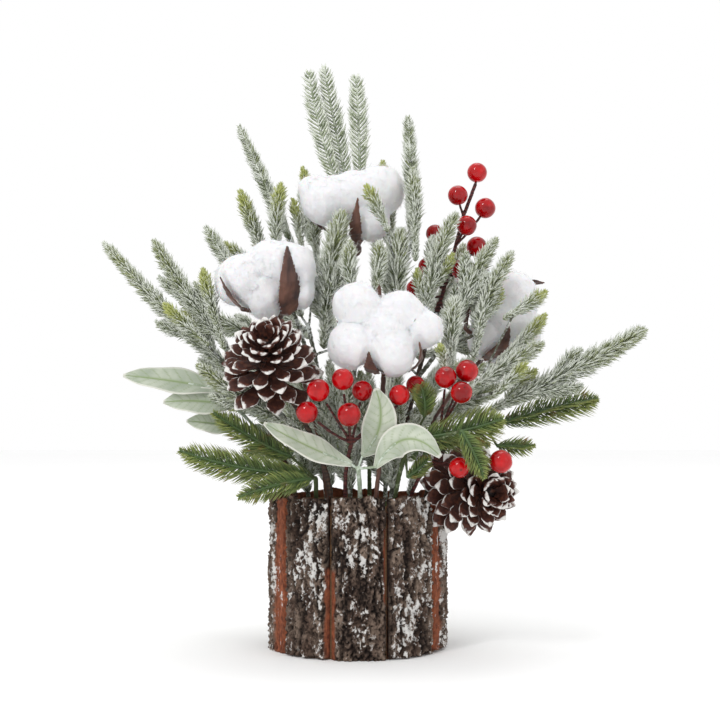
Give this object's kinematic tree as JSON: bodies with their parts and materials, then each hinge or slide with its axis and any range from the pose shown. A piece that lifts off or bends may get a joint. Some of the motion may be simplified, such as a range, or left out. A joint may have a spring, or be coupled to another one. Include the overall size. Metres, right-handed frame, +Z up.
{
  "type": "artificial tabletop tree",
  "caption": "Tabletop winter tree: frosted fir, cotton bolls, pine cones, red berries and felt leaves on wire picks set in foam, in a round bark-covered pot.",
  "frame": {"origin": "middle of the face the pot rests on", "axes": "+Z up the pot's axis, -Y the decorated front, +X to the right seen from the front"},
  "size_m": [0.2669, 0.1628, 0.2992],
  "materials": {
    "base_wood": "sawn, matt",
    "liner_card": "plain brown card",
    "floral_foam": "fine open foam",
    "bark": "rough furrowed bark with dabs of white paint",
    "frosted_needles": "flocked, grey-green with white frost and yellow-green tips",
    "frosted_stem": "flocked wire",
    "silver_needles": "lightly frosted needles",
    "cotton_lint": "loose cotton fibre",
    "boll_husk": "dry husk, matt",
    "wire_tape": "wire wrapped in brown paper tape",
    "cone_wood": "dry cone scales with white paint on their edges",
    "berry_skin": "lacquered",
    "berry_stem": "wire wrapped in dark tape",
    "leaf_stem": "wire wrapped in green-grey tape",
    "felt_leaf": "short-pile felt, paler at the edge",
    "green_needles": "moulded needles, olive at the tips"
  },
  "bodies": {
    "root": {"pot_base": "base_wood", "pot_liner": "liner_card", "floral_foam": "floral_foam", "bark_strip_01": "bark", "bark_strip_02": "bark", "bark_strip_03": "bark", "bark_strip_04": "bark", "bark_strip_05": "bark", "bark_strip_06": "bark", "bark_strip_07": "bark", "bark_strip_08": "bark", "bark_strip_09": "bark", "bark_strip_10": "bark", "frosted_left_stem": "frosted_stem", "frosted_left_needles": "frosted_needles", "frosted_upper_left_stem": "frosted_stem", "frosted_upper_left_needles": "frosted_needles", "frosted_centre_stem": "frosted_stem", "frosted_centre_needles": "frosted_needles", "frosted_right_stem": "frosted_stem", "frosted_right_needles": "frosted_needles", "frosted_low_right_stem": "frosted_stem", "frosted_low_right_needles": "frosted_needles", "frosted_back_left_stem": "frosted_stem", "frosted_back_left_needles": "frosted_needles", "frosted_back_right_stem": "frosted_stem", "frosted_back_right_needles": "frosted_needles", "cotton_front_stem": "boll_husk", "cotton_front_lint": "cotton_lint", "cotton_left_stem": "boll_husk", "cotton_left_lint": "cotton_lint", "cotton_top_stem": "boll_husk", "cotton_top_lint": "cotton_lint", "cotton_right_stem": "boll_husk", "cotton_right_lint": "cotton_lint", "pine_cone_left_wire": "wire_tape", "pine_cone_left": "cone_wood", "berry_front_stem": "berry_stem", "berry_front_berries": "berry_skin", "berry_right_stem": "berry_stem", "berry_right_berries": "berry_skin", "lambs_ear_front_stem": "leaf_stem", "lambs_ear_front_leaves": "felt_leaf", "green_left_fronds": "green_needles", "green_right_fronds": "green_needles", "green_far_right_fronds": "green_needles", "green_back_fronds": "green_needles", "green_stems": "leaf_stem", "bend_wires": "wire_tape"},
    "long_right_branch": {"frosted_long_right_stem": "frosted_stem", "frosted_long_right_needles": "frosted_needles"},
    "silver_top_pick": {"silver_top_stem": "frosted_stem", "silver_top_needles": "silver_needles"},
    "berry_tall_pick": {"berry_tall_stem": "berry_stem", "berry_tall_berries": "berry_skin"},
    "lambs_ear_left_pick": {"lambs_ear_left_stem": "leaf_stem", "lambs_ear_left_leaves": "felt_leaf"},
    "cone_right_pick": {"pine_cone_right_wire": "wire_tape", "pine_cone_right": "cone_wood"}
  },
  "joints": [
    {"name": "long_right_bend", "type": "hinge", "parent": "root", "child": "long_right_branch", "pos_m": [0.066, -0.015, 0.117], "axis": [0, 0, 1], "range_deg": [-15, 15]},
    {"name": "silver_top_bend", "type": "hinge", "parent": "root", "child": "silver_top_pick", "pos_m": [-0.007, 0.032, 0.226], "axis": [1, 0, 0], "range_deg": [-20, 4]},
    {"name": "berry_tall_bend", "type": "hinge", "parent": "root", "child": "berry_tall_pick", "pos_m": [0.041, 0, 0.17], "axis": [1, 0, 0], "range_deg": [-15, 5]},
    {"name": "lambs_ear_left_bend", "type": "hinge", "parent": "root", "child": "lambs_ear_left_pick", "pos_m": [-0.05, -0.015, 0.108], "axis": [0, 1, 0], "range_deg": [-12, 8]},
    {"name": "cone_right_bend", "type": "hinge", "parent": "root", "child": "cone_right_pick", "pos_m": [0.05, -0.019, 0.08], "axis": [0, 0, 1], "range_deg": [-3, 20]}
  ]
}
